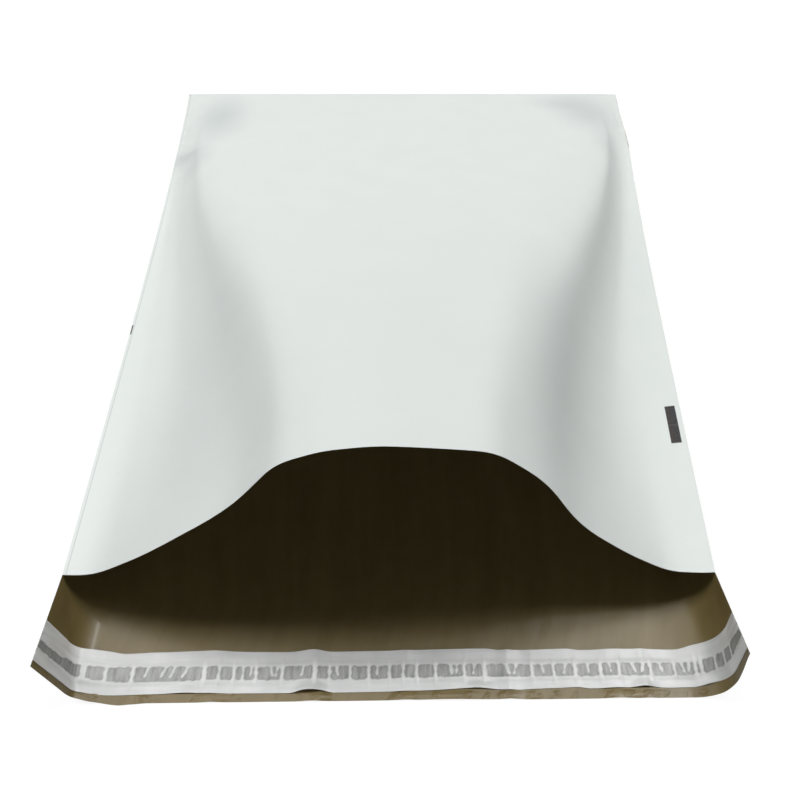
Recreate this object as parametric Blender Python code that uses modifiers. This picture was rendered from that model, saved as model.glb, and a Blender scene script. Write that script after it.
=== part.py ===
"""An open poly mailer bag of two-sided film, lying on its back with its mouth held in an arch.

The film is one strip. It starts at the end of the flap, lies on the ground as the back panel, folds
over at the closed end and comes back as the front panel, whose end is the upper edge of the mouth.
Both long sides are welded. The flap carries a band of adhesive under a peel-off release liner.

Metres. +X is the right of someone who looks into the mouth, +Y points to the closed end, +Z is up.
The origin is on the ground, under the middle of the bag's box.
"""

import math

import bmesh
import bpy
from mathutils import Vector

# Film, as cut
FLAT_WIDTH = 0.3048
BODY_LENGTH = 0.3937
FLAP_LENGTH = 0.0408
FLAP_SKEW = 0.0030
FILM_THICKNESS = 0.00006

# Mouth
CROWN_RISE = 0.0904
SEAM_RISE = 0.0213
LEFT_PULL_IN = 0.0169
WALL_LEAN = 0.0015
MOUTH_BEND = 0.0120
# Share of the mouth's length from the left weld, and the slope there in degrees before it is scaled
MOUTH_SLOPES = (
    (0.00, -8),
    (0.07, 27),
    (0.19, 40),
    (0.34, 54),
    (0.40, 18),
    (0.45, 3),
    (0.52, -8),
    (0.59, -8),
    (0.65, -38),
    (0.74, -60),
    (0.85, -38),
    (0.92, -29),
    (0.97, 4),
    (1.00, 12),
)
CROWN_STARTS = 0.35
CROWN_ENDS = 0.65

# Closed end
FOLD_HEIGHT = 0.0010
CORNER_SPREAD = 0.0100
LEFT_BOW = 0.0025
RIGHT_BOW = 0.0050

# Flap end
LEFT_EDGE_RISE = 0.0317
LEFT_EDGE_IN = 0.0194
LEFT_LEAN = 0.0064
LEFT_BEND = 0.0040
RIGHT_EDGE_RISE = 0.0355
RIGHT_EDGE_IN = 0.0354
RIGHT_LEAN = -0.0035
RIGHT_BEND = 0.0220

# Adhesive and liner
SEAT_GAP = 0.0003
ADHESIVE_WIDTH = 0.0060
ADHESIVE_FROM_END = 0.0075
ADHESIVE_THICKNESS = 0.0001
LINER_WIDTH = 0.0169
LINER_FROM_END = 0.0026
LINER_THICKNESS = 0.0001
STRIP_INSET = 0.0005

# Printed bar on the front panel
BAR_LENGTH = 0.0227
BAR_WIDTH = 0.0044
BAR_FROM_MOUTH = 0.0790
BAR_FROM_WELD = 0.0061

# Grid of the film, and how finely its shape is worked out
SIDE_COLUMNS = 14
CROWN_COLUMNS = 10
BODY_ROWS = 12
FLAP_ROWS = 4

EDGE_STEPS = 400
HALVINGS = 40
WELD_DISTANCE = 0.000001
SHARP_ANGLE = math.radians(40)

LOW = FILM_THICKNESS / 2
END_Y = (BODY_LENGTH + FLAP_LENGTH) / 2
MOUTH_Y = END_Y - BODY_LENGTH
FLAP_Y = -END_Y
HALF_WIDTH = FLAT_WIDTH / 2


def smooth(share):
    """Goes from 0 to 1 with a flat start and a flat end."""
    share = min(1.0, max(0.0, share))
    return share * share * (3 - 2 * share)


def mix(low, high, share):
    return low + (high - low) * share


def mouth_slope(share):
    """Slope of the mouth's edge before scaling, in radians, eased between the named slopes."""
    for (start, low), (end, high) in zip(MOUTH_SLOPES, MOUTH_SLOPES[1:]):
        if share <= end:
            return math.radians(mix(low, high, smooth((share - start) / (end - start))))
    return math.radians(MOUTH_SLOPES[-1][1])


def scale_for(slopes, step, climb):
    """The factor on these slopes that makes the film climb so far, found by halving."""
    low, high = 0.0, 1.5
    for _ in range(HALVINGS):
        factor = (low + high) / 2
        reached = sum(math.sin(factor * slope) * step for slope in slopes)
        if abs(reached) < abs(climb):
            low = factor
        else:
            high = factor
    return (low + high) / 2


def mouth_edge():
    """Points along the front panel's free edge, evenly spaced over the film, from weld to weld."""
    step = FLAT_WIDTH / EDGE_STEPS
    slopes = [mouth_slope((index + 0.5) / EDGE_STEPS) for index in range(EDGE_STEPS)]
    top = next(index for index in range(EDGE_STEPS // 3, EDGE_STEPS) if slopes[index] <= 0)
    climb = CROWN_RISE - SEAM_RISE
    rising = scale_for(slopes[:top], step, climb)
    falling = scale_for(slopes[top:], step, -climb)
    x, z = LEFT_PULL_IN - HALF_WIDTH, SEAM_RISE
    points = []
    for index in range(EDGE_STEPS + 1):
        along = index * step
        points.append(Vector((x, mouth_depth(along, x, z), z)))
        if index < EDGE_STEPS:
            slope = slopes[index] * (rising if index < top else falling)
            x += math.cos(slope) * step
            z += math.sin(slope) * step
    return points


def mouth_depth(along, x, z):
    """Y of a point of the mouth: its distance from the far corners, or the far fold, stays as cut."""
    from_left = along**2 - (x + HALF_WIDTH) ** 2
    from_right = (FLAT_WIDTH - along) ** 2 - (HALF_WIDTH - x) ** 2
    share = smooth((along / FLAT_WIDTH - CROWN_STARTS) / (CROWN_ENDS - CROWN_STARTS))
    return END_Y - math.sqrt(BODY_LENGTH**2 + mix(from_left, from_right, share) - z**2)


def column_shares():
    """Where the grid's columns meet the mouth, as shares of its length."""
    left = [CROWN_STARTS * index / SIDE_COLUMNS for index in range(SIDE_COLUMNS)]
    crown = [mix(CROWN_STARTS, CROWN_ENDS, index / CROWN_COLUMNS) for index in range(CROWN_COLUMNS)]
    right = [mix(CROWN_ENDS, 1.0, index / SIDE_COLUMNS) for index in range(SIDE_COLUMNS + 1)]
    return left + crown + right


def front_mouth_row():
    edge = mouth_edge()
    return [edge[round(share * EDGE_STEPS)] for share in column_shares()]


def far_row(height):
    """The columns at the closed end: the folds of both sides run into its corners."""
    xs = [-HALF_WIDTH + CORNER_SPREAD * index / SIDE_COLUMNS for index in range(SIDE_COLUMNS)]
    inner = HALF_WIDTH - CORNER_SPREAD
    xs += [mix(-inner, inner, index / CROWN_COLUMNS) for index in range(CROWN_COLUMNS)]
    xs += [inner + CORNER_SPREAD * index / SIDE_COLUMNS for index in range(SIDE_COLUMNS + 1)]
    row = [Vector((x, END_Y - FOLD_HEIGHT / 2, LOW + height)) for x in xs]
    row[0].z = row[-1].z = LOW + FOLD_HEIGHT
    return row


def fold_row():
    """The rounded nose of the fold, pinched at both corners."""
    row = far_row(FOLD_HEIGHT / 2)
    for point in row[1:-1]:
        point.y = END_Y
    return row


def upturned_side(edge, foot, bend):
    """From an upturned edge down to its foot, then round the bend onto the ground."""
    edge, foot = Vector(edge), Vector(foot)
    wall_columns = SIDE_COLUMNS // 2
    bend_columns = SIDE_COLUMNS - wall_columns
    above = foot + (edge - foot).normalized() * bend
    beyond = foot + Vector((math.copysign(bend, -foot.x), 0, 0))
    points = [edge.lerp(above, index / wall_columns) for index in range(wall_columns)]
    for index in range(bend_columns + 1):
        share = index / bend_columns
        points.append(above.lerp(foot, share).lerp(foot.lerp(beyond, share), share))
    return points


def ground_row(left, right):
    """A row of the film on the ground between its two upturned sides."""
    ground = [left[-1].lerp(right[-1], index / CROWN_COLUMNS) for index in range(1, CROWN_COLUMNS)]
    return left + ground + right[::-1]


def back_mouth_row(front_row):
    """The back panel where the flap starts, from weld to weld."""
    left, right = front_row[0], front_row[-1]
    left_foot = (left.x + WALL_LEAN, MOUTH_Y, LOW)
    right_foot = (right.x - WALL_LEAN, MOUTH_Y, LOW)
    return ground_row(
        upturned_side(left, left_foot, MOUTH_BEND),
        upturned_side(right, right_foot, MOUTH_BEND),
    )


def flap_end_row():
    left_x = LEFT_EDGE_IN - HALF_WIDTH
    right_x = HALF_WIDTH - RIGHT_EDGE_IN
    right_y = FLAP_Y + FLAP_SKEW
    left_foot = (left_x + LEFT_LEAN, FLAP_Y, LOW)
    right_foot = (right_x - RIGHT_LEAN, right_y, LOW)
    return ground_row(
        upturned_side((left_x, FLAP_Y, LEFT_EDGE_RISE), left_foot, LEFT_BEND),
        upturned_side((right_x, right_y, RIGHT_EDGE_RISE), right_foot, RIGHT_BEND),
    )


def rows_between(first, last, count):
    """Rows from the first towards the last, which is left out. Their columns are straight."""
    return [[a.lerp(b, index / count) for a, b in zip(first, last)] for index in range(count)]


def bowed(row):
    """Pulls a row of the body in a little, most of all half-way along."""
    result = []
    for point in row:
        share = min(1.0, max(0.0, (END_Y - point.y) / BODY_LENGTH))
        bow = LEFT_BOW if point.x < 0 else RIGHT_BOW
        pull = bow * math.sin(math.pi * share**0.75) / HALF_WIDTH
        result.append(Vector((point.x * (1 - pull), point.y, point.z)))
    return result


def film_rows():
    front_mouth = front_mouth_row()
    back_mouth = back_mouth_row(front_mouth)
    flap = rows_between(flap_end_row(), back_mouth, FLAP_ROWS)
    back = rows_between(back_mouth, far_row(0.0), BODY_ROWS) + [far_row(0.0)]
    front = rows_between(far_row(FOLD_HEIGHT), front_mouth, BODY_ROWS) + [front_mouth]
    return flap + [bowed(row) for row in back] + [fold_row()] + [bowed(row) for row in front]


def sheet_mesh(name, rows):
    """Joins the rows by a grid of faces, and welds the points that lie on each other."""
    bm = bmesh.new()
    grid = [[bm.verts.new(point) for point in row] for row in rows]
    for upper, lower in zip(grid, grid[1:]):
        for index in range(len(upper) - 1):
            bm.faces.new((upper[index], lower[index], lower[index + 1], upper[index + 1]))
    bmesh.ops.remove_doubles(bm, verts=bm.verts, dist=WELD_DISTANCE)
    bm.normal_update()
    mesh = bpy.data.meshes.new(name)
    bm.to_mesh(mesh)
    bm.free()
    return mesh


def strip_rows(from_end, width, lift):
    """Rows of a strip that lies across the flap, lifted off the film along the flap's own normal."""
    back_mouth = back_mouth_row(front_mouth_row())
    end = flap_end_row()
    rows = []
    for distance in (from_end, from_end + width):
        row = [a.lerp(b, distance / FLAP_LENGTH) for a, b in zip(end, back_mouth)]
        row[0] += (row[1] - row[0]).normalized() * STRIP_INSET
        row[-1] += (row[-2] - row[-1]).normalized() * STRIP_INSET
        rows.append([point + lift * inward(row, index) for index, point in enumerate(row)])
    return rows


def inward(row, index):
    """The direction off the film's upper side at a column, square to the row."""
    before, after = row[max(0, index - 1)], row[min(len(row) - 1, index + 1)]
    along = after - before
    return Vector((-along.z, 0, along.x)).normalized()


def add_object(name, mesh, materials, thickness):
    obj = bpy.data.objects.new(name, mesh)
    mailer.objects.link(obj)
    for material in materials:
        mesh.materials.append(material)
    mesh.shade_smooth()
    mesh.set_sharp_from_angle(angle=SHARP_ANGLE)
    solid = obj.modifiers.new("Thickness", "SOLIDIFY")
    solid.thickness = thickness
    solid.offset = 0
    solid.use_even_offset = True
    return solid


def plain_material(name, colour, roughness):
    material = bpy.data.materials.new(name)
    material.use_nodes = True
    shader = material.node_tree.nodes["Principled BSDF"]
    shader.inputs["Base Color"].default_value = (*colour, 1)
    shader.inputs["Roughness"].default_value = roughness
    shader.inputs["Metallic"].default_value = 0
    return material


def print_bar(mesh, slot):
    """Gives the front panel's faces inside the printed bar a material of their own."""
    bm = bmesh.new()
    bm.from_mesh(mesh)
    corner = front_mouth_row()[-1].xy
    along = (Vector((HALF_WIDTH, END_Y)) - corner).normalized().to_3d()
    across = along.cross(Vector((0, 0, 1)))
    centre = corner.to_3d() + along * BAR_FROM_MOUTH - across * BAR_FROM_WELD
    sides = ((across, BAR_WIDTH / 2), (along, BAR_LENGTH / 2))

    def is_near(face, margin):
        offset = face.calc_center_median() - centre
        return face.normal.z > 0 and all(
            abs(offset.dot(axis)) < half + margin for axis, half in sides
        )

    for axis, half in sides:
        for sign in (-1, 1):
            near = [face for face in bm.faces if is_near(face, BAR_LENGTH)]
            edges = {edge for face in near for edge in face.edges}
            verts = {vert for face in near for vert in face.verts}
            bmesh.ops.bisect_plane(
                bm,
                geom=[*verts, *edges, *near],
                plane_co=centre + sign * half * axis,
                plane_no=axis,
            )
    for face in bm.faces:
        if is_near(face, 0):
            face.material_index = slot
    bm.to_mesh(mesh)
    bm.free()


def build_film():
    mesh = sheet_mesh("mailer_film", film_rows())
    print_bar(mesh, 2)
    outside = plain_material("white_film", (0.72, 0.76, 0.73), 0.4)
    inside = plain_material("taupe_film", (0.17, 0.15, 0.10), 0.35)
    ink = plain_material("dark_ink", (0.03, 0.03, 0.025), 0.5)
    # The inner face of each material is the next one in the list.
    solid = add_object("mailer_film", mesh, (outside, inside, ink, inside), FILM_THICKNESS)
    solid.material_offset = 1


def build_adhesive():
    lift = FILM_THICKNESS / 2 + SEAT_GAP + ADHESIVE_THICKNESS / 2
    mesh = sheet_mesh("adhesive_strip", strip_rows(ADHESIVE_FROM_END, ADHESIVE_WIDTH, lift))
    tacky = plain_material("hot_melt_adhesive", (0.33, 0.34, 0.31), 0.25)
    add_object("adhesive_strip", mesh, (tacky,), ADHESIVE_THICKNESS)


def build_liner():
    under = FILM_THICKNESS / 2 + SEAT_GAP + ADHESIVE_THICKNESS + SEAT_GAP
    lift = under + LINER_THICKNESS / 2
    mesh = sheet_mesh("release_liner", strip_rows(LINER_FROM_END, LINER_WIDTH, lift))
    release_film = plain_material("release_film", (0.62, 0.64, 0.64), 0.3)
    add_object("release_liner", mesh, (release_film,), LINER_THICKNESS)


for old in list(bpy.data.objects):
    bpy.data.objects.remove(old)

mailer = bpy.data.collections.new("poly_mailer_bag")
bpy.context.scene.collection.children.link(mailer)
build_film()
build_adhesive()
build_liner()
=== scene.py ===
"""The looks of the open poly mailer bag: its film, adhesive band and release liner in fine detail.

Everything is in metres, in the CAD model's frame: +X is the right of someone who looks into the
mouth, +Y points to the closed end and +Z is up. The film is one strip of flat film. A place on it is
named by two lengths on the flat strip: across, from the left weld, and along, from the flap's end
over the back panel and the fold at the closed end to the mouth's upper edge.
"""

import math

import bpy
import numpy as np
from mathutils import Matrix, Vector, noise


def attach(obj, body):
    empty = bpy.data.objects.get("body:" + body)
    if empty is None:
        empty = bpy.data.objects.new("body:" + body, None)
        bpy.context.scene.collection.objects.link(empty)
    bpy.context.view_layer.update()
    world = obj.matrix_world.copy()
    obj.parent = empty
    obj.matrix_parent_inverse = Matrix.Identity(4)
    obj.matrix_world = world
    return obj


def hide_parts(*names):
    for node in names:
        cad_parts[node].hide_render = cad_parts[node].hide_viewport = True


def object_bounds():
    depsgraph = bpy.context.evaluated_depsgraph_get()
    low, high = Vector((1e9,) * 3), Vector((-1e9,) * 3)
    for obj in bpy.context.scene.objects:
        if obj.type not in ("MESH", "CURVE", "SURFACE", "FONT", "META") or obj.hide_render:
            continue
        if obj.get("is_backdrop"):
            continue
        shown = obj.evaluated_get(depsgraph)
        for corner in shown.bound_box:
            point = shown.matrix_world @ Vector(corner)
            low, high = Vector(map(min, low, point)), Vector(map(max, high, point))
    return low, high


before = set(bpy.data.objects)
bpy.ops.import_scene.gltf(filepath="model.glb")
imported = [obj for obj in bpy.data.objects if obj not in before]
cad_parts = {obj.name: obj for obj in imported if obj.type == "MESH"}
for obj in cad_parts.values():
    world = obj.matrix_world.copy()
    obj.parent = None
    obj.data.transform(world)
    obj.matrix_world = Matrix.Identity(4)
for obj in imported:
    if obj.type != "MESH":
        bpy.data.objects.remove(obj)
cad_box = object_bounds()

# Film, as cut
FLAT_WIDTH = 0.3048
BODY_LENGTH = 0.3937
FLAP_LENGTH = 0.0408
FLAP_SKEW = 0.0030
FILM_THICKNESS = 0.00006
STRIP_LENGTH = FLAP_LENGTH + 2 * BODY_LENGTH
HALF_WIDTH = FLAT_WIDTH / 2
END_Y = cad_box[1][1]
MOUTH_Y = END_Y - BODY_LENGTH
FLAP_Y = cad_box[0][1]
LOW = FILM_THICKNESS / 2

# Mouth, with the slopes of its upper edge in degrees before they are scaled to the crown's rise.
# The bend at the foot of the side walls is wider in the mouth's edge than inside.
CROWN_RISE = 0.0904
SEAM_RISE = 0.0213
LEFT_PULL_IN = 0.0169
WALL_LEAN = 0.0015
MOUTH_BEND = 0.0195
MOUTH_REACH = 0.0300
INNER_BEND = 0.0120
MOUTH_SLOPES = (
    (0.00, -8),
    (0.07, 27),
    (0.19, 40),
    (0.34, 54),
    (0.40, 18),
    (0.45, 3),
    (0.52, -8),
    (0.59, -8),
    (0.65, -38),
    (0.74, -60),
    (0.85, -38),
    (0.92, -29),
    (0.97, 4),
    (1.00, 12),
)
STEEPEST_FACTOR = 1.5
CROWN_STARTS = 0.35
CROWN_ENDS = 0.65
SHOULDER = 0.09
LEFT_LIFT = 0.0065
LEFT_LIFT_ENDS = 0.30
LIFT_FORWARD = 0.60

# Closed end, and how far the sides are pulled in
FOLD_HEIGHT = 0.0010
CORNER_SPREAD = 0.0200
CORNER_PINCH = 0.03
LEFT_BOW = 0.0025
RIGHT_BOW = 0.0038
BOW_SKEW = 0.75
RIGHT_CORNER_IN = 0.0055
RIGHT_CORNER_REACH = 0.064

# The flanks keep close to the welds at the closed end and have opened out before the mouth,
# and the crown rises ever steeper towards the mouth
LEFT_OPENING = 1.50
RIGHT_OPENING = 1.45
STEEPENING = 1.15

# How far the film stands off this shape, most of all a good way towards the mouth: as weights
# from the left weld to the right one, down on the flanks and up on the crown
LEFT_SWELL = 0.0065
RIGHT_SWELL = 0.0080
SWELL_DELAY = 2
SWELLS = (
    (0.00, 0.0),
    (0.14, -1.0),
    (0.37, 1.0),
    (0.65, 1.0),
    (0.87, -1.0),
    (1.00, 0.0),
)

# Small folds and hollows of the front panel: place from the left weld and from the closed end,
# half-length and half-width, in mm, the way that the length runs, in degrees from +X, and the
# height, in mm
DENTS = (
    (13.0, 88.0, 10.0, 3.5, -6, 1.6),
    (4.0, 92.0, 3.0, 2.2, 0, 0.9),
    (27.0, 44.0, 16.0, 9.0, 70, -1.5),
    (40.0, 58.0, 16.0, 9.0, 70, 0.8),
    (5.5, 54.0, 3.2, 2.0, 35, -0.9),
    (3.5, 61.0, 2.6, 2.0, -20, 0.9),
    (8.0, 66.0, 5.0, 2.0, -25, -0.5),
    (14.0, 36.0, 9.0, 2.5, 55, 0.5),
    (296.0, 50.0, 7.0, 1.6, 4, -0.7),
    (295.0, 62.0, 6.0, 6.0, 0, 0.8),
    (300.0, 82.0, 2.6, 3.4, 0, -0.6),
    (300.0, 89.0, 3.0, 3.0, 0, 0.6),
    (301.0, 30.0, 16.0, 0.9, 82, 0.35),
    (298.0, 33.0, 15.0, 0.9, 78, -0.12),
    (296.0, 12.0, 9.0, 1.4, -40, 0.5),
    (282.0, 40.0, 20.0, 8.0, 100, -1.2),
    (268.0, 62.0, 18.0, 9.0, 105, 0.7),
)

# A hollow takes at most this share of the room under the film, and folds fade at all four edges
DEEPEST_DENT = 0.35
DENTS_OFF_WELD = 0.004
DENTS_OFF_FOLD = 0.010
DENTS_OFF_MOUTH = 0.020
WEAVE_SIZE = 0.045
WEAVE_HEIGHT = 0.0007

# Print on the front panel: from and to across, and from and to as measured from the mouth
PRINTS = (
    (0.2982, 0.3026, 0.0677, 0.0904),
    (0.0002, 0.0008, 0.1405, 0.1475),
)

# A faint line in the right bar, from and to along, and one beside the left weld, across
FAINT_LINE = (STRIP_LENGTH - 0.0790, STRIP_LENGTH - 0.0782)
WELD_LINE = (0.0011, 0.0015)

# Crinkled places: the margin at the flap's cut end, and both sides of the front panel's far part,
# which ends at this place along with this softness
MARGIN_ENDS = 0.0028
CRINKLED_SIDES = (0.0100, FLAT_WIDTH - 0.0100)
CRINKLES_END = (STRIP_LENGTH - 0.2750, 0.0300)

# Painted shade on the front panel, in soft grey patches that stand in for the shade of shallow
# hollows near the closed end and of the flanks: place across and from the mouth, half-sizes and
# weight
PAINTED_SHADE_PATCHES = (
    (0.0280, 0.350, 0.018, 0.036, 0.52),
    (0.0080, 0.305, 0.012, 0.012, 0.35),
    (0.0200, 0.290, 0.012, 0.020, 0.30),
    (0.2790, 0.360, 0.022, 0.032, 0.52),
    (0.2600, 0.378, 0.020, 0.014, 0.30),
    (0.2850, 0.310, 0.010, 0.022, 0.20),
    (0.2320, 0.065, 0.030, 0.075, 0.28),
    (0.0560, 0.080, 0.028, 0.080, 0.17),
)

# Flap end, with the height and the reach of the bend under each upturned side
LEFT_EDGE_RISE = 0.0317
LEFT_EDGE_IN = 0.0194
LEFT_LEAN = 0.0064
LEFT_BEND = (0.0040, 0.0060)
RIGHT_EDGE_RISE = 0.0355
RIGHT_EDGE_IN = 0.0354
RIGHT_LEAN = -0.0035
RIGHT_BEND = (0.0180, 0.0150)

# How far the flap's cut end strays towards -Y: place across and distance, in mm
END_WAVES = (
    (0, 0.0),
    (24, -0.2),
    (30, -0.6),
    (38, 0.3),
    (48, 1.4),
    (52, 1.1),
    (58, 0.7),
    (150, 0.8),
    (190, 0.9),
    (205, 1.1),
    (266, 1.2),
    (274, 1.1),
    (282, 0.7),
    (292, 0.6),
    (305, 0.0),
)
WAVES_FADE = 3

# Small waves of the film at the flap's end: place across, half-width and height, in mm
END_RIPPLES = (
    (34, 5.0, 1.6),
    (82, 3.5, 0.6),
    (120, 4.0, 0.8),
    (155, 4.0, 0.6),
    (172, 12.0, 0.7),
    (195, 3.0, 0.7),
    (236, 5.0, 0.8),
    (247, 2.0, 0.5),
)
RIPPLE_REACH = 0.0060

# Tiny creases of the margin below the liner: place across, half-width and height, in mm
END_CREASES = (
    (86.2, 2.0, 0.40),
    (125.2, 1.5, 0.40),
    (156.7, 1.4, 0.35),
    (173.0, 12.0, 0.25),
    (195.1, 1.4, 0.40),
    (203.5, 2.0, 0.30),
    (232.4, 2.0, 0.40),
    (243.1, 2.0, 0.45),
)
CREASE_CREST = 0.0014
CREASE_REACH = 0.0010

# Adhesive and liner
ADHESIVE_WIDTH = 0.0060
ADHESIVE_FROM_END = 0.0075
ADHESIVE_THICKNESS = 0.0001
LINER_WIDTH = 0.0169
LINER_FROM_END = 0.0026
LINER_THICKNESS = 0.00008
LINER_LOW_GAP = 0.00014
LINER_BAND_GAP = 0.00030
LINER_DROP_REACH = 0.0022
ADHESIVE_GAP = 0.00008
MIDDLE_PLACE = 0.1580
ADHESIVE_COLUMNS = 300
ADHESIVE_ROWS = 6
LINER_COLUMNS = 720
LINER_ROWS = 40

# Puckers where the liner stands off the adhesive: place across, height and half-width, in mm
PUCKERS = (
    (32.6, 0.14, 0.90),
    (40.8, 0.25, 0.45),
    (51.2, 0.45, 0.55),
    (78.6, 0.60, 0.70),
    (84.3, 0.25, 0.30),
    (90.0, 0.40, 0.45),
    (93.4, 0.20, 0.25),
    (98.5, 0.45, 0.50),
    (108.5, 0.45, 0.45),
    (121.0, 0.80, 0.70),
    (126.6, 0.30, 0.35),
    (134.5, 0.25, 0.35),
    (141.6, 0.40, 0.40),
    (149.6, 0.35, 0.35),
    (154.8, 0.40, 0.40),
    (160.0, 0.40, 0.40),
    (167.1, 0.45, 0.45),
    (178.2, 0.55, 0.45),
    (186.0, 0.60, 0.65),
    (204.2, 0.50, 0.55),
    (212.6, 0.45, 0.45),
    (220.9, 0.60, 0.65),
    (230.5, 0.55, 0.50),
    (237.8, 0.45, 0.45),
    (250.0, 0.55, 0.60),
    (259.2, 0.40, 0.40),
    (267.2, 0.60, 0.55),
    (269.4, 0.50, 0.50),
    (275.5, 0.30, 0.35),
    (280.5, 0.30, 0.35),
    (286.5, 0.30, 0.35),
)

# Short marks in the contact: place across, lean towards +X over the band, half-width, in mm
MARKS = (
    (56.2, 1.6, 0.30),
    (62.6, 2.2, 0.35),
    (66.2, 1.8, 0.30),
    (70.8, 2.6, 0.40),
    (96.4, 0.3, 0.20),
    (104.4, -1.0, 0.25),
    (106.2, 0.9, 0.20),
    (116.0, 1.4, 0.25),
    (129.6, -0.9, 0.30),
    (144.8, 0.5, 0.25),
    (173.4, -0.8, 0.45),
    (175.2, 0.5, 0.25),
    (181.8, 1.2, 0.25),
    (195.0, -1.4, 0.45),
    (197.6, 1.6, 0.25),
    (208.6, -0.8, 0.25),
    (216.8, 1.5, 0.35),
    (226.0, 0.3, 0.20),
    (234.4, -0.5, 0.20),
    (243.8, -1.6, 0.25),
    (246.6, 1.8, 0.40),
    (254.2, -1.2, 0.30),
    (262.6, -1.0, 0.35),
    (264.6, 0.9, 0.25),
)
MARKS_END = 0.001

# Puckers are narrow on the adhesive, and flare and fade at these shares of its half-width
PUCKER_RISE = 0.5
# The lift of a pucker at which its painted highlight is full
PUCKER_HIGHLIGHT_LIFT = 0.0003
FLARE_STARTS = 0.8
FLARE = 0.8
FADE_STARTS = 0.9
FADE = 1.2

# The liner gets a painted highlight where it stands up with the flap's sides, outside these places
# across
PAINTED_WALL_LIGHT = (0.0260, 0.2860)
PAINTED_WALL_LIGHT_EASE = 0.0060

# The wet contact of the liner with the adhesive, and how far its long edges stray, in mm
CONTACT_FAR = 0.004
CONTACT_SOFT = 0.00050
CONTACT_CORNER = 0.0011
CONTACT_GRAIN = 0.0020
CONTACT_WOBBLE = 0.0005
RIM_DEPTH = 0.0012
CONTACT_TOP = (
    (0, -2.4),
    (20, -2.0),
    (28, -0.6),
    (38, 0.2),
    (60, 0.3),
    (75, 0.0),
    (150, 0.0),
    (270, 0.1),
    (290, -0.6),
    (305, -1.6),
)
CONTACT_BOTTOM = (
    (0, 0.0),
    (36, 0.3),
    (46, -0.2),
    (66, -0.3),
    (80, 0.2),
    (120, 0.0),
    (200, 0.2),
    (270, 0.0),
    (305, 0.6),
)

# How far the liner's long edges stray from straight lines: place across and distance, in mm
LINER_TOP_WAVES = (
    (0, 0.0),
    (30, -0.2),
    (40, 0.3),
    (47, -0.5),
    (60, 0.0),
    (78, 0.5),
    (98, -0.1),
    (110, -0.2),
    (120, 0.6),
    (127, -0.2),
    (146, 0.0),
    (169, 0.2),
    (187, 0.6),
    (193, -0.1),
    (202, 0.0),
    (218, 0.4),
    (224, -0.2),
    (247, 0.1),
    (261, -0.4),
    (268, 0.5),
    (280, 0.1),
    (305, 0.0),
)
LINER_BOTTOM_WAVES = (
    (0, 0.0),
    (30, 0.4),
    (46, -0.2),
    (60, 0.1),
    (72, 0.4),
    (90, 0.0),
    (112, -0.1),
    (117, 0.6),
    (123, 0.6),
    (129, -0.1),
    (150, 0.0),
    (166, 0.2),
    (182, 0.9),
    (196, 0.1),
    (212, 0.6),
    (221, 0.9),
    (226, 0.3),
    (240, 0.4),
    (246, 0.8),
    (256, 0.2),
    (265, 0.3),
    (273, 0.8),
    (285, 0.2),
    (305, 0.0),
)

# Stretches of the liner's lower edge that stand off the film: middle, half-length, height, in mm
LIFTED_EDGES = (
    (72.0, 8.0, 0.5),
    (119.5, 9.0, 1.4),
    (184.0, 9.0, 0.6),
    (246.5, 7.0, 0.7),
    (271.0, 6.0, 0.7),
)

# Grids. The flap's rows lie closer at its cut end, and the mouth's wide bend fades fast inside.
SIDE_COLUMNS = 46
CROWN_COLUMNS = 106
FRONT_ROWS = 190
FOLD_ROWS = 2
BACK_ROWS = 16
MOUTH_BEND_FADE = 8
FLAP_ROWS = 34
FLAP_CROWDING = 1.2
EDGE_STEPS = 1200
HALVINGS = 40
MERGE_DISTANCE = 0.000001
SPLIT_ANGLE = 60

# Camera, looking down by the pitch
CAMERA_PLACE = (-0.0044, -0.34575, 0.3205)
CAMERA_PITCH = 48.98
CAMERA_LENS = 39.12
SENSOR_WIDTH = 36
CLIP_START = 0.01

# Lamps: size, power and the angles by which they stand off the vertical, behind and to the left
LAMP_DISTANCE = 2.0
KEY_SIZE = (6.0, 0.80)
KEY_POWER = 77
KEY_FROM_BEHIND = 17.5
KEY_FROM_LEFT = 6
FILL_SIZE = (2.0, 0.5)
FILL_POWER = 7
FILL_FROM_FRONT = 70
GLINT_SIZE = (0.06, 0.06)
GLINT_POWER = 6
GLINT_FROM_BEHIND = 12
GLINT_FROM_LEFT = -22

# The floor and the world look white, but throw little light on the bag
AMBIENT = 0.03
FLOOR_REACH = 6.0
FLOOR_WHITE = 0.15
FLOOR_GLOW = 0.90

# Roughness, relief in metres, the coat of the taupe film, and the alpha of the dry and wet liner
WHITE_ROUGHNESS = 0.45
PRINT_ROUGHNESS = 0.75
TAUPE_ROUGHNESS = 0.40
GLUE_ROUGHNESS = 0.22
LINER_ROUGHNESS = 0.33
WHITE_RELIEF = 0.00006
TAUPE_RELIEF = 0.00022
GLUE_RELIEF = 0.00010
LINER_RELIEF = 0.00006
WHITE_IOR = 1.5
TAUPE_SPECULAR = 0.25
TAUPE_COAT = 0.12
TAUPE_COAT_ROUGHNESS = 0.20
DRY_ALPHA = 0.94
WET_ALPHA = 0.55

# Colours
WHITE_FILM = ((0.71, 0.755, 0.73), (0.75, 0.785, 0.765))
# Painted shade of the front panel's patches
PAINTED_SHADE = (0.44, 0.485, 0.485)
WELD = (0.50, 0.53, 0.52)
INK = ((0.020, 0.013, 0.009), (0.009, 0.010, 0.014))
FAINT_INK = (0.060, 0.055, 0.050)
TAUPE_FILM = ((0.162, 0.120, 0.044), (0.204, 0.154, 0.062))
TAUPE_CLOUD = (0.20, 0.155, 0.075)
GLUE = ((0.27, 0.275, 0.265), (0.37, 0.38, 0.365))
DRY_LINER = ((0.62, 0.635, 0.625), (0.82, 0.83, 0.82))
# Painted shade along the liner's folds
LINER_FOLD_SHADE = (0.60, 0.615, 0.605)
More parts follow.
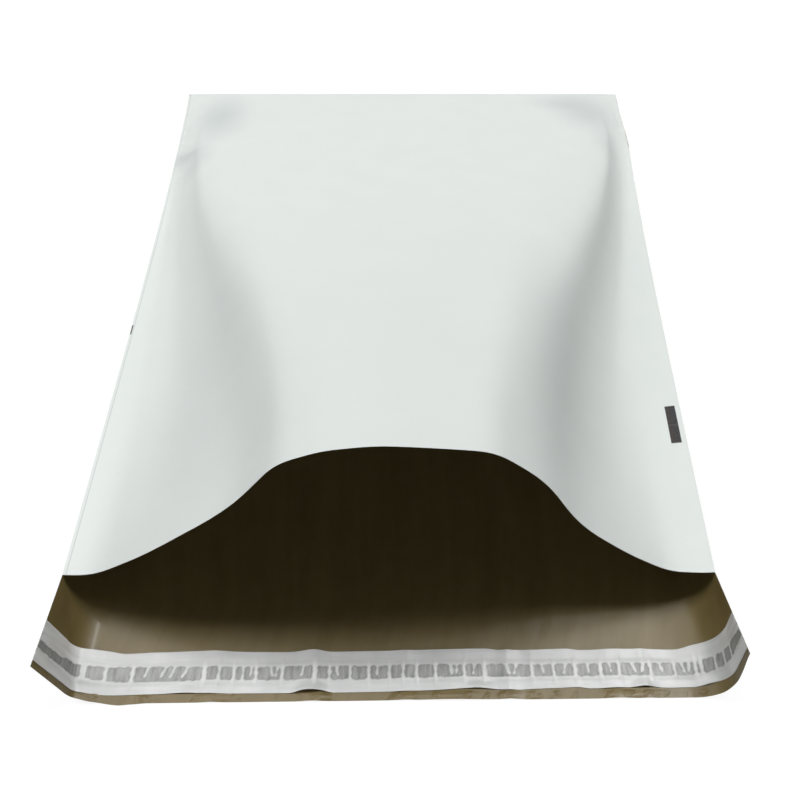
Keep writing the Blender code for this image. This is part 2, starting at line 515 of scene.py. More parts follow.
# Painted highlight of the liner's puckers and upturned ends, on the puckers partly also the whiter
# look of lifted film
LINER_HIGHLIGHT = (0.97, 0.97, 0.96)
WET_LINER = ((0.27, 0.275, 0.265), (0.72, 0.725, 0.715))
WET_RIM = (0.22, 0.225, 0.215)


def smooth(share):
    """Goes from 0 to 1 with a flat start and a flat end."""
    share = np.clip(share, 0.0, 1.0)
    return share * share * (3 - 2 * share)


def hump(share):
    """Goes from 0 up to 1 half-way and back to 0, and is 0 outside."""
    return np.sin(np.pi * np.clip(share, 0.0, 1.0)) ** 2


def mix(low, high, share):
    return low + (high - low) * share


def eased(knots, share):
    """The value at a share between named knots, eased from each knot to the next."""
    for (start, low), (end, high) in zip(knots, knots[1:]):
        if share <= end:
            return mix(low, high, float(smooth((share - start) / (end - start))))
    return knots[-1][1]


# The film's shape


def scale_for(slopes, step, climb):
    """The factor on these slopes that makes the film climb so far, found by halving."""
    low, high = 0.0, STEEPEST_FACTOR
    for _ in range(HALVINGS):
        factor = (low + high) / 2
        if abs(np.sin(factor * slopes).sum() * step) < abs(climb):
            low = factor
        else:
            high = factor
    return (low + high) / 2


def mouth_edge():
    """Points along the front panel's free edge, evenly spaced over the film, from weld to weld."""
    step = FLAT_WIDTH / EDGE_STEPS
    middles = (np.arange(EDGE_STEPS) + 0.5) / EDGE_STEPS
    slopes = np.radians([eased(MOUTH_SLOPES, share) for share in middles])
    start = int(EDGE_STEPS * CROWN_STARTS)
    top = next(index for index in range(start, EDGE_STEPS) if slopes[index] <= 0)
    climb = CROWN_RISE - SEAM_RISE
    slopes[:top] *= scale_for(slopes[:top], step, climb)
    slopes[top:] *= scale_for(slopes[top:], step, -climb)
    x = LEFT_PULL_IN - HALF_WIDTH + np.concatenate(([0], np.cumsum(np.cos(slopes)) * step))
    z = SEAM_RISE + np.concatenate(([0], np.cumsum(np.sin(slopes)) * step))
    along = np.linspace(0, FLAT_WIDTH, EDGE_STEPS + 1)
    from_left = along**2 - (x + HALF_WIDTH) ** 2
    from_right = (FLAT_WIDTH - along) ** 2 - (HALF_WIDTH - x) ** 2
    share = smooth((along / FLAT_WIDTH - CROWN_STARTS) / (CROWN_ENDS - CROWN_STARTS))
    y = END_Y - np.sqrt(BODY_LENGTH**2 + mix(from_left, from_right, share) - z**2)
    lift = LEFT_LIFT * hump(along / FLAT_WIDTH / LEFT_LIFT_ENDS)
    return np.stack((x, y - LIFT_FORWARD * lift, z + lift), axis=1)


def far_shares():
    """Where each place of the mouth's edge comes from on the closed end, as shares of its width.

    The folds of both sides run into the far corners, and the crown spreads over all the rest.
    """
    middles = (np.arange(EDGE_STEPS) + 0.5) / EDGE_STEPS
    crown = smooth((middles - CROWN_STARTS + SHOULDER) / (2 * SHOULDER))
    crown *= smooth((CROWN_ENDS + SHOULDER - middles) / (2 * SHOULDER))
    side = CORNER_SPREAD / FLAT_WIDTH / CROWN_STARTS
    density = side + crown * (1 - side) * EDGE_STEPS / crown.sum()
    return np.concatenate(([0], np.cumsum(density) / density.sum()))


def column_shares():
    left = np.linspace(0, CROWN_STARTS, SIDE_COLUMNS, endpoint=False)
    crown = np.linspace(CROWN_STARTS, CROWN_ENDS, CROWN_COLUMNS, endpoint=False)
    right = np.linspace(CROWN_ENDS, 1, SIDE_COLUMNS + 1)
    return np.concatenate((left, crown, right))


EDGE = mouth_edge()
EDGE_SHARES = np.linspace(0, 1, EDGE_STEPS + 1)
FAR_SHARES = far_shares()


def on_mouth(shares):
    return np.stack([np.interp(shares, EDGE_SHARES, EDGE[:, axis]) for axis in range(3)], axis=1)


def on_closed_end(shares, height, y=END_Y - FOLD_HEIGHT / 2):
    """The closed end, pinched at both corners to the middle of the fold."""
    across = np.interp(shares, EDGE_SHARES, FAR_SHARES)
    pinch = smooth(across / CORNER_PINCH) * smooth((1 - across) / CORNER_PINCH)
    z = LOW + mix(FOLD_HEIGHT / 2, height, pinch)
    return np.stack((across * FLAT_WIDTH - HALF_WIDTH, np.full_like(z, y), z), axis=1)


def upturned_side(edge, foot, bend, reach, share):
    """A place between an upturned edge, at share 0, and the ground beyond the foot, at share 1.

    The bend at the foot starts so high on the wall, and ends so far along the ground.
    """
    edge, foot = Vector(edge), Vector(foot)
    above = foot + (edge - foot).normalized() * bend
    beyond = foot + Vector((math.copysign(reach, -foot.x), 0, 0))
    if share < 0.5:
        return edge.lerp(above, 2 * share)
    turn = 2 * share - 1
    return above.lerp(foot, turn).lerp(foot.lerp(beyond, turn), turn)


def section(left, right, shares):
    """A row of the film with both sides turned up: left and right are (edge, foot, bend, reach)."""
    row = []
    for share in shares:
        if share < CROWN_STARTS:
            row.append(upturned_side(*left, share / CROWN_STARTS))
        elif share > CROWN_ENDS:
            row.append(upturned_side(*right, (1 - share) / (1 - CROWN_ENDS)))
        else:
            ends = upturned_side(*left, 1), upturned_side(*right, 1)
            row.append(ends[0].lerp(ends[1], (share - CROWN_STARTS) / (CROWN_ENDS - CROWN_STARTS)))
    return np.array([tuple(point) for point in row])


def on_back_mouth(shares, bend=MOUTH_BEND, reach=MOUTH_REACH):
    """A row of the back panel at the mouth."""
    left, right = EDGE[0], EDGE[-1]
    return section(
        (left, (left[0] + WALL_LEAN, MOUTH_Y, LOW), bend, reach),
        (right, (right[0] - WALL_LEAN, MOUTH_Y, LOW), bend, reach),
        shares,
    )


def on_flap_end(shares):
    """The row of the film at the flap's cut end, but for its waves."""
    left_x = LEFT_EDGE_IN - HALF_WIDTH
    right_x = HALF_WIDTH - RIGHT_EDGE_IN
    right_y = FLAP_Y + FLAP_SKEW
    return section(
        ((left_x, FLAP_Y, LEFT_EDGE_RISE), (left_x + LEFT_LEAN, FLAP_Y, LOW), *LEFT_BEND),
        ((right_x, right_y, RIGHT_EDGE_RISE), (right_x - RIGHT_LEAN, right_y, LOW), *RIGHT_BEND),
        shares,
    )


def lengths_along(row):
    """Distance of each point of a row from its first point, along the row."""
    return np.concatenate(([0], np.cumsum(np.linalg.norm(np.diff(row, axis=0), axis=1))))


def bowed(points):
    """Pulls places of the body in a little, most of all half-way along and at the right corner."""
    share = np.clip((END_Y - points[..., 1]) / BODY_LENGTH, 0, 1)
    right = points[..., 0] > 0
    pull = np.where(right, RIGHT_BOW, LEFT_BOW) * np.sin(np.pi * share**BOW_SKEW)
    corner = np.clip(1 - share * BODY_LENGTH / RIGHT_CORNER_REACH, 0, 1)
    pull += np.where(right, RIGHT_CORNER_IN, 0) * corner
    points = points.copy()
    points[..., 0] *= 1 - pull / HALF_WIDTH
    return points


def wave(knots, across):
    """The distance that these knots, in mm, give at places across."""
    return np.array([eased(knots, 1000 * place) for place in across]) / 1000


def bumps(table, across):
    """The height at places across of small bumps, which the table gives in mm."""
    height = np.zeros_like(across)
    for place, half_width, rise in table:
        height += rise / 1000 * np.exp(-(((1000 * across - place) / half_width) ** 2))
    return height


def end_ripple(across, along):
    """How far the film stands up in small waves and creases at the flap's cut end."""
    waves = math.exp(-((along / RIPPLE_REACH) ** 2))
    crest = math.exp(-(((along - CREASE_CREST) / CREASE_REACH) ** 2))
    return waves * bumps(END_RIPPLES, across) + crest * bumps(END_CREASES, across)


def dents(row, from_closed_end):
    """Small folds and hollows of one row of the front panel, over a faint weave of noise."""
    height = np.array([noise.noise((*point, 0)) for point in row[:, :2] / WEAVE_SIZE])
    height *= WEAVE_HEIGHT
    for place, distance, half_length, half_width, turn, rise in DENTS:
        right = 1000 * (row[:, 0] + HALF_WIDTH) - place
        down = 1000 * from_closed_end - distance
        turn = math.radians(turn)
        lengthwise = (right * math.cos(turn) - down * math.sin(turn)) / half_length
        sideways = (right * math.sin(turn) + down * math.cos(turn)) / half_width
        height += rise / 1000 * np.exp(-(lengthwise**2) - sideways**2)
    off_weld = np.minimum(row[:, 0] - row[0, 0], row[-1, 0] - row[:, 0])
    off_ends = smooth(from_closed_end / DENTS_OFF_FOLD)
    off_ends *= smooth((BODY_LENGTH - from_closed_end) / DENTS_OFF_MOUTH)
    height = height * smooth(off_weld / DENTS_OFF_WELD) * off_ends
    return np.maximum(height, DEEPEST_DENT * (LOW - row[:, 2]))


def between_welds(closed_end, mouth, shares, share, opened):
    """Places of a front row: its welds are this share of the way to the mouth, the rest opened."""
    delay = opened - share
    left, right = mouth[0] - closed_end[0], mouth[-1] - closed_end[-1]
    return mix(closed_end, mouth, opened) - delay * mix(left, right, shares)


def flap_rows(shares):
    """Rows from the flap's cut end to the mouth: points, places across and the place along."""
    flap_end, mouth = on_flap_end(shares), on_back_mouth(shares)
    across_ends = lengths_along(flap_end), lengths_along(mouth)
    for index in range(FLAP_ROWS):
        share = (index / FLAP_ROWS) ** FLAP_CROWDING
        across, along = mix(*across_ends, share), share * FLAP_LENGTH
        row = mix(flap_end, mouth, share)
        row[:, 1] -= wave(END_WAVES, across) * (1 - share) ** WAVES_FADE
        row[:, 2] += end_ripple(across, along)
        yield row, across, along


def back_rows(shares, far):
    """Rows of the back panel, from the mouth to the closed end, and around the fold there."""
    mouth, inner = on_back_mouth(shares), on_back_mouth(shares, INNER_BEND, INNER_BEND)
    across_mouth = lengths_along(mouth)
    for index in range(BACK_ROWS + 1):
        share = index / BACK_ROWS
        wall = mix(inner, mouth, (1 - share) ** MOUTH_BEND_FADE)
        row = bowed(mix(wall, on_closed_end(shares, 0.0), share))
        yield row, mix(across_mouth, far, share), FLAP_LENGTH + share * BODY_LENGTH
    for index in range(1, FOLD_ROWS):
        height = FOLD_HEIGHT * index / FOLD_ROWS
        yield bowed(on_closed_end(shares, height, END_Y)), far, FLAP_LENGTH + BODY_LENGTH


def front_rows(shares, far):
    """Rows of the front panel, from the closed end to the mouth's free edge."""
    closed_end, mouth = on_closed_end(shares, FOLD_HEIGHT), on_mouth(shares)
    opening = mix(LEFT_OPENING, RIGHT_OPENING, smooth(shares))
    swell = np.array([eased(SWELLS, share) for share in shares])
    swell *= mix(LEFT_SWELL, RIGHT_SWELL, smooth(shares))
    for index in range(FRONT_ROWS + 1):
        share = index / FRONT_ROWS
        opened = smooth(share) ** opening
        row = mix(closed_end, mouth, share)
        row[:, 0] = between_welds(closed_end[:, 0], mouth[:, 0], shares, share, opened)
        row[:, 2] = between_welds(closed_end[:, 2], mouth[:, 2], shares, share, share**STEEPENING)
        row[:, 2] += swell * math.sin(math.pi * share**SWELL_DELAY)
        row[:, 2] += dents(row, share * BODY_LENGTH)
        across = mix(far, shares * FLAT_WIDTH, opened)
        yield bowed(row), across, FLAP_LENGTH + (1 + share) * BODY_LENGTH


def film_grid():
    """The film's points, row by row, and for each its place across and along the flat strip."""
    shares = column_shares()
    far = np.interp(shares, EDGE_SHARES, FAR_SHARES) * FLAT_WIDTH
    points, places = [], []
    for rows in (flap_rows(shares), back_rows(shares, far), front_rows(shares, far)):
        for row, across, along in rows:
            points.append(row)
            places.append(np.stack((across, np.full_like(across, along)), axis=1))
    return np.array(points), np.array(places)


def grid_object(name, points, places, materials):
    """A mesh of the grid's faces, with the places on the flat strip as its map."""
    rows, columns = points.shape[:2]
    index = np.arange(rows * columns).reshape(rows, columns)
    corners = (index[:-1, :-1], index[1:, :-1], index[1:, 1:], index[:-1, 1:])
    faces = np.stack(corners, axis=2).reshape(-1, 4)
    mesh = bpy.data.meshes.new(name)
    mesh.from_pydata(points.reshape(-1, 3).tolist(), [], faces.tolist())
    flat = mesh.uv_layers.new(name="flat_strip")
    flat.data.foreach_set("uv", places.reshape(-1, 2)[faces.reshape(-1)].reshape(-1))
    for material in materials:
        mesh.materials.append(material)
    mesh.shade_smooth()
    obj = bpy.data.objects.new(name, mesh)
    bpy.context.scene.collection.objects.link(obj)
    return obj


def add_map(obj, name, first, second):
    """Two values for each point of a grid, kept as one more map of the mesh."""
    corners = np.zeros(len(obj.data.loops), dtype=np.int32)
    obj.data.loops.foreach_get("vertex_index", corners)
    values = np.stack((first.reshape(-1), second.reshape(-1)), axis=1)[corners]
    obj.data.uv_layers.new(name=name).data.foreach_set("uv", values.reshape(-1))


# Materials


def node_maker(tree):
    """A function that adds a node to the tree, with its inputs set or linked."""

    def node(kind, inputs=(), **settings):
        made = tree.nodes.new(kind)
        for key, value in settings.items():
            setattr(made, key, value)
        for key, value in dict(inputs).items():
            if isinstance(value, bpy.types.NodeSocket):
                tree.links.new(value, made.inputs[key])
            else:
                made.inputs[key].default_value = value
        return made

    return node


def new_material(name):
    """A material with its shader, a maker of nodes for it, and a function that feeds the shader."""
    material = bpy.data.materials.new(name)
    material.use_nodes = True
    tree = material.node_tree
    shader = tree.nodes["Principled BSDF"]

    def link(source, key):
        tree.links.new(source, shader.inputs[key])

    return material, shader, node_maker(tree), link


def math_node(node, operation, first, second=0.0, third=0.5):
    inputs = {0: first, 1: second, 2: third}
    return node("ShaderNodeMath", inputs, operation=operation).outputs[0]


def times(node, first, second):
    return math_node(node, "MULTIPLY", first, second)


def plus(node, first, second):
    return math_node(node, "ADD", first, second)


def map_parts(node, name):
    """The two values of a map of the mesh."""
    parts = node("ShaderNodeSeparateXYZ", {0: node("ShaderNodeUVMap", uv_map=name).outputs[0]})
    return parts.outputs[0], parts.outputs[1]


def flat_places(node):
    """The places across and along the flat strip, in metres."""
    uv = node("ShaderNodeUVMap", uv_map="flat_strip").outputs[0]
    parts = node("ShaderNodeSeparateXYZ", {0: uv})
    return uv, parts.outputs[0], parts.outputs[1]


def texture(node, vector, scale, detail=3.0, roughness=0.5, stretch=(1, 1, 1)):
    """Noise from 0 to 1 with about so many lumps to the metre."""
    mapped = node("ShaderNodeMapping", {"Vector": vector, "Scale": stretch}).outputs[0]
    inputs = {"Vector": mapped, "Scale": scale, "Detail": detail, "Roughness": roughness}
    return node("ShaderNodeTexNoise", inputs).outputs[0]


def between(node, value, low, high, soft):
    """1 where the value lies between low and high, with soft edges."""
    rise = {"Value": value, 1: low - soft, 2: low + soft}
    fall = {"Value": value, 1: high - soft, 2: high + soft, 3: 1.0, 4: 0.0}
    rising = node("ShaderNodeMapRange", rise, interpolation_type="SMOOTHSTEP").outputs[0]
    falling = node("ShaderNodeMapRange", fall, interpolation_type="SMOOTHSTEP").outputs[0]
    return times(node, rising, falling)


def remap(node, value, low, high, to_low=0.0, to_high=1.0):
    """The value, brought from one range to another and kept inside it."""
    inputs = {"Value": value, 1: low, 2: high, 3: to_low, 4: to_high}
    return node("ShaderNodeMapRange", inputs).outputs[0]


def blend(node, first, second, share):
    """A colour between two colours."""
    first, second = (
        colour if isinstance(colour, bpy.types.NodeSocket) else (*colour, 1)
        for colour in (first, second)
    )
    inputs = {0: share, 6: first, 7: second}
    return node("ShaderNodeMix", inputs, data_type="RGBA", clamp_factor=True).outputs[2]


def bumped(node, height, distance):
    """The normals of a surface that a height of 1 raises by this distance."""
    inputs = {"Height": height, "Distance": distance, "Strength": 1.0}
    return node("ShaderNodeBump", inputs).outputs[0]


def printed(node, across, along):
    """1 where one of the prints lies, with soft edges."""
    mask = None
    for left, right, from_mouth, to_mouth in PRINTS:
        wide = between(node, across, left, right, 0.00015)
        long = between(node, along, STRIP_LENGTH - to_mouth, STRIP_LENGTH - from_mouth, 0.0003)
        one = times(node, wide, long)
        mask = one if mask is None else math_node(node, "MAXIMUM", mask, one)
    return mask


def painted_shade_weight(node, across, along):
    """The sum of the patches of painted shade on the front panel."""
    total = None
    for place, from_mouth, half_width, half_length, weight in PAINTED_SHADE_PATCHES:
        right = math_node(node, "MULTIPLY_ADD", across, 1 / half_width, -place / half_width)
        start = (from_mouth - STRIP_LENGTH) / half_length
        down = math_node(node, "MULTIPLY_ADD", along, 1 / half_length, start)
        reach = node("ShaderNodeCombineXYZ", {0: right, 1: down}).outputs[0]
        distance = node("ShaderNodeVectorMath", {0: reach}, operation="LENGTH").outputs["Value"]
        inputs = {"Value": distance, 1: 0.0, 2: 1.5, 3: weight, 4: 0.0}
        one = node("ShaderNodeMapRange", inputs, interpolation_type="SMOOTHSTEP").outputs[0]
        total = one if total is None else plus(node, total, one)
    return total


def white_film():
    """White satin film, with its print, the left weld's line, patches of painted shade and crinkled
    sides.
    """
    material, shader, node, link = new_material("white_film")
    uv, across, along = flat_places(node)
    clouds = texture(node, uv, 45, 3)
    colour = blend(node, *WHITE_FILM, clouds)
    # Painted shade: grey patches where hollows and flanks would fall in shade
    colour = blend(node, colour, PAINTED_SHADE, painted_shade_weight(node, across, along))
    line = between(node, across, *WELD_LINE, 0.0002)
    colour = blend(node, colour, WELD, times(node, line, 0.7))
    frayed = texture(node, uv, 1400, 3, 0.6, (1, 0.4, 1))
    ink = blend(node, *INK, remap(node, across, *PRINTS[0][:2]))
    faint = between(node, along, *FAINT_LINE, 0.0003)
    ink = blend(node, ink, FAINT_INK, times(node, faint, 0.7))
    thin = remap(node, frayed, 0.25, 0.55, 0.97, 1.0)
    mark = printed(node, across, along)
    link(blend(node, colour, ink, times(node, mark, thin)), "Base Color")
    link(remap(node, mark, 0, 1, WHITE_ROUGHNESS, PRINT_ROUGHNESS), "Roughness")
    shader.inputs["IOR"].default_value = WHITE_IOR
    inner = between(node, across, *CRINKLED_SIDES, 0.0050)
    far = between(node, along, STRIP_LENGTH - BODY_LENGTH, *CRINKLES_END)
    sides = times(node, math_node(node, "SUBTRACT", 1.0, inner), far)
    crinkle = texture(node, uv, 260, 4, 0.55)
    creases = times(node, texture(node, uv, 190, 3, 0.5), sides)
    height = plus(node, crinkle, times(node, creases, 12.0))
    link(bumped(node, height, WHITE_RELIEF), "Normal")
    return material


def taupe_film():
    """The film's brown-grey inner face, with soft wrinkles and a crinkled margin at its cut end."""
    material, shader, node, link = new_material("taupe_film")
    uv, _, along = flat_places(node)
    streaks = texture(node, uv, 110, 4, 0.6, (1, 0.12, 1))
    clouds = texture(node, uv, 140, 3, 0.5)
    colour = blend(node, *TAUPE_FILM, remap(node, streaks, 0.3, 0.7))
    cloudy = remap(node, clouds, 0.45, 0.75, 0.0, 0.4)
    link(blend(node, colour, TAUPE_CLOUD, cloudy), "Base Color")
    shader.inputs["Roughness"].default_value = TAUPE_ROUGHNESS
    shader.inputs["Specular IOR Level"].default_value = TAUPE_SPECULAR
    shader.inputs["Coat Weight"].default_value = TAUPE_COAT
    shader.inputs["Coat Roughness"].default_value = TAUPE_COAT_ROUGHNESS
    wrinkles = texture(node, uv, 70, 2, 0.4, (1, 0.45, 1))
    margin = between(node, along, -1.0, MARGIN_ENDS, 0.0006)
    crinkles = remap(node, texture(node, uv, 150, 2, 0.5, (1, 0.8, 1)), 0.52, 0.72)
    crinkles = times(node, crinkles, margin)
    height = plus(node, times(node, wrinkles, 3.0), streaks)
    height = plus(node, height, times(node, crinkles, 3.0))
    link(bumped(node, height, TAUPE_RELIEF), "Normal")
    return material


def adhesive_material():
    """Grey hot-melt adhesive, slightly stringy."""
    material, shader, node, link = new_material("hot_melt_adhesive")
    uv = flat_places(node)[0]
    strings = texture(node, uv, 500, 3, 0.55, (1, 0.35, 1))
    link(blend(node, *GLUE, strings), "Base Color")
    shader.inputs["Roughness"].default_value = GLUE_ROUGHNESS
    link(bumped(node, strings, GLUE_RELIEF), "Normal")
    return material


def liner_material():
    """Milky release film that turns clear where it lies wet on the adhesive; its folds carry painted
    shade, its puckers and upturned ends painted highlights.
    """
    material, shader, node, link = new_material("release_film")
    uv = flat_places(node)[0]
    wet, deep = map_parts(node, "contact")
    pucker_highlight, painted_light_on_walls = map_parts(node, "puckers")
    streaks = texture(node, uv, 300, 4, 0.6, (0.12, 1, 1))
    folds = texture(node, uv, 110, 3, 0.5, (1, 0.15, 1))
    strings = texture(node, uv, 620, 3, 0.65, (1, 0.16, 1))
    dry = blend(node, *DRY_LINER, remap(node, streaks, 0.25, 0.75))
    # Painted shade: the liner is darker where the fold noise, also its relief, runs high
    dry = blend(node, dry, LINER_FOLD_SHADE, remap(node, folds, 0.35, 0.65, 0.0, 0.5))
    # Painted highlight on the puckers, partly also the whiter look of lifted film
    dry = blend(node, dry, LINER_HIGHLIGHT, remap(node, pucker_highlight, 0.15, 0.9, 0.0, 0.5))
    # Painted highlight on the liner's upturned ends, where they stand up with the flap's sides
    painted_wall_highlight = times(node, painted_light_on_walls, remap(node, streaks, 0.35, 0.6, 0.35, 1.0))
    dry = blend(node, dry, LINER_HIGHLIGHT, painted_wall_highlight)
    clear = blend(node, *WET_LINER, remap(node, strings, 0.3, 0.7))
    clear = blend(node, clear, WET_RIM, remap(node, deep, 0.15, 1.0, 0.55, 0.0))
    link(blend(node, dry, clear, wet), "Base Color")
    link(remap(node, wet, 0, 1, DRY_ALPHA, WET_ALPHA), "Alpha")
    shader.inputs["Roughness"].default_value = LINER_ROUGHNESS
    height = plus(node, times(node, folds, 4.0), strings)
    link(bumped(node, plus(node, height, streaks), LINER_RELIEF), "Normal")
    return material


# Pieces


def thicken(obj, thickness, material_offset=0):
    """Gives a sheet its thickness, with sharp edges where it is cut or folded."""
    solid = obj.modifiers.new("Thickness", "SOLIDIFY")
    solid.thickness = thickness
    solid.offset = 0
    solid.use_even_offset = False
    solid.material_offset = material_offset
    split = obj.modifiers.new("Cut_edges", "EDGE_SPLIT")
    split.split_angle = math.radians(SPLIT_ANGLE)


def build_film():
    points, places = film_grid()
    materials = (white_film(), taupe_film())
    film = grid_object("film_body", points, places, materials)
    weld = film.modifiers.new("Welds", "WELD")
    weld.merge_threshold = MERGE_DISTANCE
    thicken(film, FILM_THICKNESS, 1)
    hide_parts("mailer_film")
    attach(film, "root")


def even_shares(from_end, columns):
    """Shares that space columns evenly over the film, so far from the flap's end."""
    shares = np.linspace(0, 1, EDGE_STEPS + 1)
    row = mix(on_flap_end(shares), on_back_mouth(shares), from_end / FLAP_LENGTH)
    lengths = lengths_along(row)
    return np.interp(np.linspace(0, lengths[-1], columns + 1), lengths, shares)


def strip_grid(from_end, width, columns, rows):
    """A strip across the flap, in the middle of the film, with its places and its normals."""
    shares = even_shares(from_end + width / 2, columns)
    ends = on_flap_end(shares), on_back_mouth(shares)
    alongs = np.linspace(from_end, from_end + width, rows + 1)
    points = np.array([mix(*ends, along / FLAP_LENGTH) for along in alongs])
    across = np.array([lengths_along(row) for row in points])
    middle = columns // 2
    across += points[:, [middle], 0] + MIDDLE_PLACE - across[:, [middle]]
    along = np.repeat(alongs[:, None], columns + 1, 1)
    right = np.gradient(points, axis=1)
    up = np.stack((-right[..., 2], np.zeros_like(across), right[..., 0]), axis=2)
    up /= np.linalg.norm(up, axis=2, keepdims=True)
    return points, np.stack((across, along), axis=2), up


def pucker_lift(across, along):
    """How far the liner's puckers stand up: narrow on the adhesive and flared on both sides of it."""
    off_band = np.abs(along - ADHESIVE_FROM_END - ADHESIVE_WIDTH / 2) / (ADHESIVE_WIDTH / 2)
    flare = 1 + FLARE * np.maximum(off_band - FLARE_STARTS, 0)
    fade = np.exp(-FADE * np.maximum(off_band - FADE_STARTS, 0) ** 2)
    lift = np.zeros_like(across)
    for place, height, half_width in PUCKERS:
        away = (1000 * across - place) / (half_width * flare)
        lift += PUCKER_RISE * height / 1000 * fade * np.exp(-(away**2))
    return lift


def edge_lift(across, along):
    """How far stretches of the liner's lower edge stand off the film."""
    near_edge = smooth(1 - (along - LINER_FROM_END) / (ADHESIVE_FROM_END - LINER_FROM_END))
    lift = np.zeros_like(across)
    for middle, half_length, height in LIFTED_EDGES:
        lift += height / 1000 * smooth(1 - np.abs(1000 * across - middle) / half_length)
    return lift * near_edge


def contact(across, along):
    """How deep each place lies inside the liner's wet contact with the adhesive, below 0 outside.

    Puckers and marks cut gaps into the contact, and its outline wobbles and has round corners.
    """
    middle = ADHESIVE_FROM_END + ADHESIVE_WIDTH / 2
    top = middle + ADHESIVE_WIDTH / 2 + wave(CONTACT_TOP, across[0])
    bottom = middle - ADHESIVE_WIDTH / 2 + wave(CONTACT_BOTTOM, across[0])
    points = np.stack((across / CONTACT_GRAIN, along / CONTACT_GRAIN), axis=2).reshape(-1, 2)
    wobble = np.array([noise.noise((*point, 0)) for point in points]).reshape(across.shape)
    wobble *= CONTACT_WOBBLE
    inside = np.minimum(top - along, along - bottom) + wobble
    nearest = np.full_like(across, CONTACT_FAR)
    for place, _, half_width in PUCKERS:
        nearest = np.minimum(nearest, np.abs(across - place / 1000) - half_width / 1000)
    for place, lean, half_width in MARKS:
        line = (place + lean * (along - middle) / ADHESIVE_WIDTH) / 1000
        off_mark = np.abs(across - line) - half_width / 1000
        nearest = np.minimum(nearest, off_mark + np.maximum(middle - MARKS_END - along, 0))
    nearest -= wobble
    rounded = np.maximum(CONTACT_CORNER - inside, 0), np.maximum(CONTACT_CORNER - nearest, 0)
    return np.minimum(np.minimum(inside, nearest), CONTACT_CORNER - np.hypot(*rounded))


def build_adhesive():
    size = ADHESIVE_FROM_END, ADHESIVE_WIDTH
    points, places, up = strip_grid(*size, ADHESIVE_COLUMNS, ADHESIVE_ROWS)
    points += up * (FILM_THICKNESS / 2 + ADHESIVE_GAP + ADHESIVE_THICKNESS / 2)
    adhesive = grid_object("adhesive_band", points, places, (adhesive_material(),))
    thicken(adhesive, ADHESIVE_THICKNESS)
    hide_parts("adhesive_strip")
    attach(adhesive, "root")


def build_liner():
    points, places, up = strip_grid(LINER_FROM_END, LINER_WIDTH, LINER_COLUMNS, LINER_ROWS)
    across, along = places[..., 0], places[..., 1]
    off_band = np.abs(along - ADHESIVE_FROM_END - ADHESIVE_WIDTH / 2) - ADHESIVE_WIDTH / 2
    over_band = smooth(1 - off_band / LINER_DROP_REACH)
    lift = (FILM_THICKNESS + LINER_THICKNESS) / 2 + mix(LINER_LOW_GAP, LINER_BAND_GAP, over_band)
    puckers = pucker_lift(across, along)
    lift += puckers + edge_lift(across, along)
    share = (along - LINER_FROM_END) / LINER_WIDTH
    top = smooth(2 * share - 1) * wave(LINER_TOP_WAVES, across[-1])
    bottom = smooth(1 - 2 * share) * wave(LINER_BOTTOM_WAVES, across[0])
    points += up * lift[..., None]
    points[..., 1] += top + bottom
    for row, places_across in zip(points, across):
        row[:, 2] += end_ripple(places_across, LINER_FROM_END)
    liner = grid_object("peel_off_liner", points, places, (liner_material(),))
    depth = contact(across, along)
    add_map(liner, "contact", smooth(depth / CONTACT_SOFT), smooth(depth / RIM_DEPTH))
    # Where the liner gets painted highlights: on its puckers by how far they lift, and on its
    # upturned ends outside the middle
    unpainted_middle = smooth((across - PAINTED_WALL_LIGHT[0]) / PAINTED_WALL_LIGHT_EASE)
    unpainted_middle *= smooth((PAINTED_WALL_LIGHT[1] - across) / PAINTED_WALL_LIGHT_EASE)
    add_map(liner, "puckers", puckers / PUCKER_HIGHLIGHT_LIFT, 1 - unpainted_middle)
    thicken(liner, LINER_THICKNESS)
    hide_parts("release_liner")
    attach(liner, "root")


# Studio


def build_floor():
    """A plain floor that looks white and keeps the bag's shadow."""
    mesh = bpy.data.meshes.new("floor")
    signs = (-1, -1), (1, -1), (1, 1), (-1, 1)
    corners = [(x * FLOOR_REACH, y * FLOOR_REACH, 0) for x, y in signs]
    mesh.from_pydata(corners, [], [(0, 1, 2, 3)])
    floor = bpy.data.objects.new("floor", mesh)
    bpy.context.scene.collection.objects.link(floor)
    material = bpy.data.materials.new("floor_paper")
    material.use_nodes = True
    tree = material.node_tree
    tree.nodes.remove(tree.nodes["Principled BSDF"])
    node = node_maker(tree)
    paper = node("ShaderNodeBsdfDiffuse", {"Color": (FLOOR_WHITE, FLOOR_WHITE, FLOOR_WHITE, 1)})
    glow = node("ShaderNodeEmission", {"Strength": times(node, seen_directly(node), FLOOR_GLOW)})
    both = node("ShaderNodeAddShader", {0: paper.outputs[0], 1: glow.outputs[0]})
    tree.links.new(both.outputs[0], tree.nodes["Material Output"].inputs["Surface"])
    mesh.materials.append(material)
    floor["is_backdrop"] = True


def seen_directly(node):
    """1 for what the camera, a mirror or a glass sees, and 0 for what lights the object."""
    path = node("ShaderNodeLightPath")
    value = path.outputs["Is Camera Ray"]
    for name in ("Is Glossy Ray", "Is Transmission Ray"):
        value = math_node(node, "MAXIMUM", value, path.outputs[name])
    return value


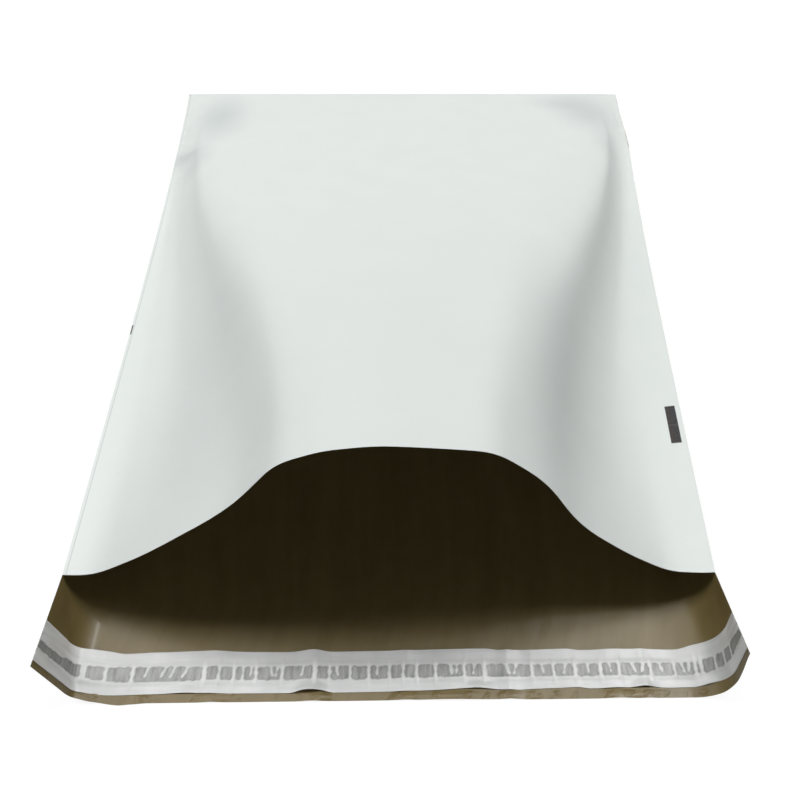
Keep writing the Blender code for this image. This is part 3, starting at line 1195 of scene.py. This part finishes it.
def build_world():
    """A world that looks white and lights the bag from all sides a little."""
    world = bpy.data.worlds.new("studio")
    bpy.context.scene.world = world
    world.use_nodes = True
    tree = world.node_tree
    background = tree.nodes["Background"]
    background.inputs["Color"].default_value = (1, 1, 1, 1)
    node = node_maker(tree)
    strength = remap(node, seen_directly(node), 0.0, 1.0, AMBIENT, 1.0)
    tree.links.new(strength, background.inputs["Strength"])


def add_lamp(name, size, power, from_behind, from_left):
    """A light that looks down on the bag from this side."""
    light = bpy.data.lights.new(name, "AREA")
    light.shape = "RECTANGLE"
    light.size, light.size_y = size
    light.energy = power
    lamp = bpy.data.objects.new(name, light)
    lamp.rotation_euler = (-math.radians(from_behind), -math.radians(from_left), 0)
    towards = lamp.rotation_euler.to_matrix() @ Vector((0, 0, 1))
    lamp.location = towards * LAMP_DISTANCE
    bpy.context.scene.collection.objects.link(lamp)
    return lamp


def build_lights():
    """One very long soft light overhead, a weak one in front, and a small one only for glints."""
    add_lamp("key", KEY_SIZE, KEY_POWER, KEY_FROM_BEHIND, KEY_FROM_LEFT)
    add_lamp("fill", FILL_SIZE, FILL_POWER, -FILL_FROM_FRONT, 0)
    glint = add_lamp("glint", GLINT_SIZE, GLINT_POWER, GLINT_FROM_BEHIND, GLINT_FROM_LEFT)
    glint.visible_diffuse = False


def build_camera():
    """The photograph's camera."""
    data = bpy.data.cameras.new("camera")
    data.sensor_width = SENSOR_WIDTH
    data.sensor_fit = "HORIZONTAL"
    data.lens = CAMERA_LENS
    data.clip_start = CLIP_START
    camera = bpy.data.objects.new("camera", data)
    camera.location = CAMERA_PLACE
    camera.rotation_euler = (math.radians(90 - CAMERA_PITCH), 0, 0)
    bpy.context.scene.collection.objects.link(camera)
    bpy.context.scene.camera = camera


build_camera()
build_world()
build_lights()
build_floor()
build_film()
build_adhesive()
build_liner()
bpy.context.scene.view_settings.view_transform = "Standard"

sizes = {"cad": cad_box, "visual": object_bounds()}
{key: [list(map(float, corner)) for corner in box] for key, box in sizes.items()}
